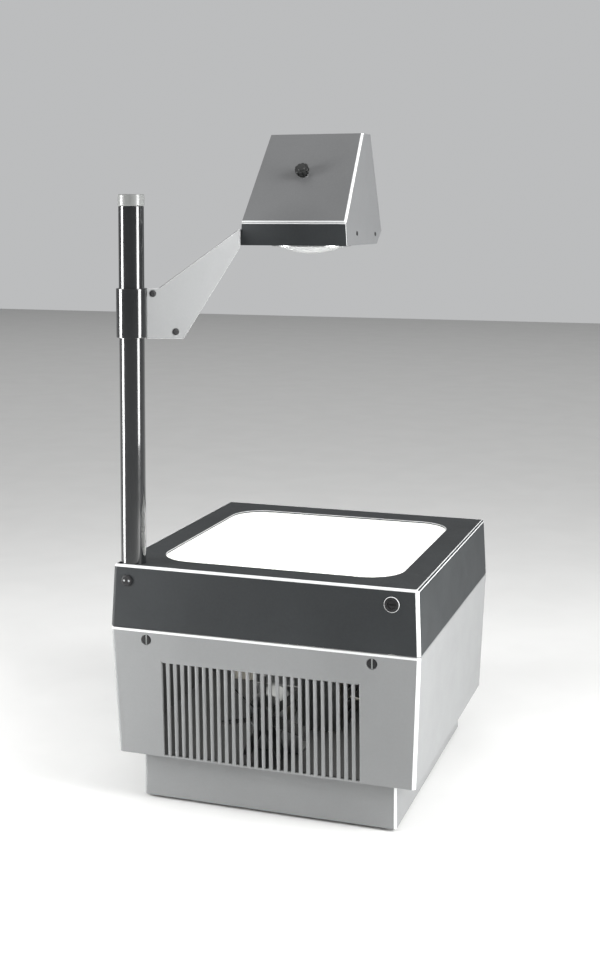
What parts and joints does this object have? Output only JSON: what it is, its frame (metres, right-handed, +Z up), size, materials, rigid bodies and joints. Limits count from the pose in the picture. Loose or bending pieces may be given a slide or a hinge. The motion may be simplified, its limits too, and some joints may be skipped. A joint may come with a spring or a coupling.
{
  "type": "overhead projector",
  "caption": "Overhead projector with a tapered vented casing on a plinth, a hinged glass stage, and a corner post carrying a rack-focused arm with a wedge-shaped mirror head.",
  "frame": {"origin": "centre of the casing's footprint, at the surface that the feet stand on; the optical axis of the stage runs up from it", "axes": "+Z up along the optical axis; +X to the operator's right as seen from the grille side; +Y away from the grille side, towards the hinge, the mains inlet and the screen"},
  "size_m": [0.36, 0.366, 0.7645],
  "materials": {
    "grey_paint": "satin",
    "black_paint": "satin",
    "black_steel": "satin",
    "sheet_steel": "satin",
    "bright_steel": "polished",
    "cast_alloy": "matte",
    "plain_brass": "satin",
    "clear_glass": "polished",
    "clear_plastic": "gloss",
    "silvered": "polished",
    "black_plastic": "matte",
    "grey_plastic": "satin",
    "coil_tape": "matte",
    "pale_sleeve": "matte",
    "foot_rubber": "matte",
    "pale_ceramic": "matte"
  },
  "bodies": {
    "base": {"plinth_tray": "grey_paint", "foot_front_left": "foot_rubber", "foot_front_right": "foot_rubber", "foot_rear_left": "foot_rubber", "foot_rear_right": "foot_rubber", "chassis_deck": "sheet_steel", "casing_shell": "grey_paint", "casing_screw_left": "black_steel", "casing_screw_right": "black_steel", "power_inlet": "black_plastic", "fuse_holder": "black_plastic", "switch_body": "black_plastic", "lamp_house": "sheet_steel", "lamp_socket": "pale_ceramic", "halogen_lamp": "clear_glass", "lamp_reflector": "silvered", "heat_filter": "clear_glass", "condenser_ring": "black_steel", "condenser_lens": "clear_glass", "fan_bracket": "sheet_steel", "fan_motor": "sheet_steel", "transformer_core": "black_steel", "transformer_coil": "coil_tape", "terminal_block": "pale_ceramic", "mains_lead": "black_plastic", "transformer_lead": "black_plastic", "lamp_lead": "pale_sleeve", "latch_catch": "bright_steel", "hinge_leaf_fixed": "bright_steel", "hinge_pin": "bright_steel"},
    "fan": {"fan_impeller": "black_plastic"},
    "switch": {"switch_rocker": "black_plastic"},
    "cover": {"cover_frame": "black_paint", "post_clamp_screw": "bright_steel", "mask_plate": "black_paint", "stage_glass": "clear_glass", "field_lens": "clear_plastic", "hinge_leaf_moving": "bright_steel", "lock_ring": "bright_steel", "post_socket": "cast_alloy", "post_tube": "black_steel", "post_rack": "plain_brass", "post_cap": "grey_plastic"},
    "lock": {"lock_barrel": "black_steel", "lock_tongue": "bright_steel"},
    "carriage": {"collar": "black_steel", "drive_housing": "cast_alloy", "arm_plate": "grey_paint", "head_housing": "grey_paint", "lens_board": "black_paint", "lens_ring": "black_steel", "objective_lens": "clear_glass", "mirror_axle": "bright_steel", "screw_bush": "plain_brass"},
    "focus_drive": {"focus_pinion": "bright_steel", "focus_knob": "black_plastic"},
    "mirror": {"mirror_carrier": "sheet_steel", "mirror_glass": "silvered"},
    "mirror_foot": {"screw_foot": "plain_brass"},
    "mirror_screw": {"mirror_knob": "black_plastic"}
  },
  "joints": [
    {"name": "cover_hinge", "type": "hinge", "parent": "base", "child": "cover", "pos_m": [0, 0.1785, 0.2065], "axis": [-1, 0, 0], "range_deg": [0, 55]},
    {"name": "lock_turn", "type": "hinge", "parent": "cover", "child": "lock", "pos_m": [0.148, -0.1735, 0.256], "axis": [0, -1, 0], "range_deg": [0, 90]},
    {"name": "focus_slide", "type": "slide", "parent": "cover", "child": "carriage", "axis": [0, 0, 1], "range_m": [-0.11, 0.075]},
    {"name": "focus_turn", "type": "hinge", "parent": "carriage", "child": "focus_drive", "pos_m": [-0.14694, -0.14988, 0.556], "axis": [-0.7086, 0.7056, 0], "range_deg": [-650, 930]},
    {"name": "mirror_tilt", "type": "hinge", "parent": "carriage", "child": "mirror", "pos_m": [0, -0.04826, 0.65733], "axis": [1, 0, 0], "range_deg": [-2.5, 3]},
    {"name": "mirror_foot_slide", "type": "slide", "parent": "carriage", "child": "mirror_foot", "axis": [0, -0.7679, 0.6405], "range_m": [-0.0028, 0.0034]},
    {"name": "mirror_screw_turn", "type": "hinge", "parent": "mirror_foot", "child": "mirror_screw", "pos_m": [-0.003, -0.02186, 0.71552], "axis": [0, -0.7679, 0.6405], "range_deg": [-990, 1190]},
    {"name": "fan_spin", "type": "hinge", "parent": "base", "child": "fan", "pos_m": [0, -0.168, 0.112], "axis": [0, 1, 0], "continuous": true},
    {"name": "switch_rock", "type": "hinge", "parent": "base", "child": "switch", "pos_m": [0.112, 0.17669, 0.08505], "axis": [1, 0, 0], "range_deg": [0, 14]}
  ],
  "couplings": [
    {"joint": "focus_turn", "follows": "focus_slide", "rad_per_m": -142.86},
    {"joint": "mirror_foot_slide", "follows": "mirror_tilt", "m_per_rad": 0.0616},
    {"joint": "mirror_screw_turn", "follows": "mirror_tilt", "ratio": 387.04}
  ]
}
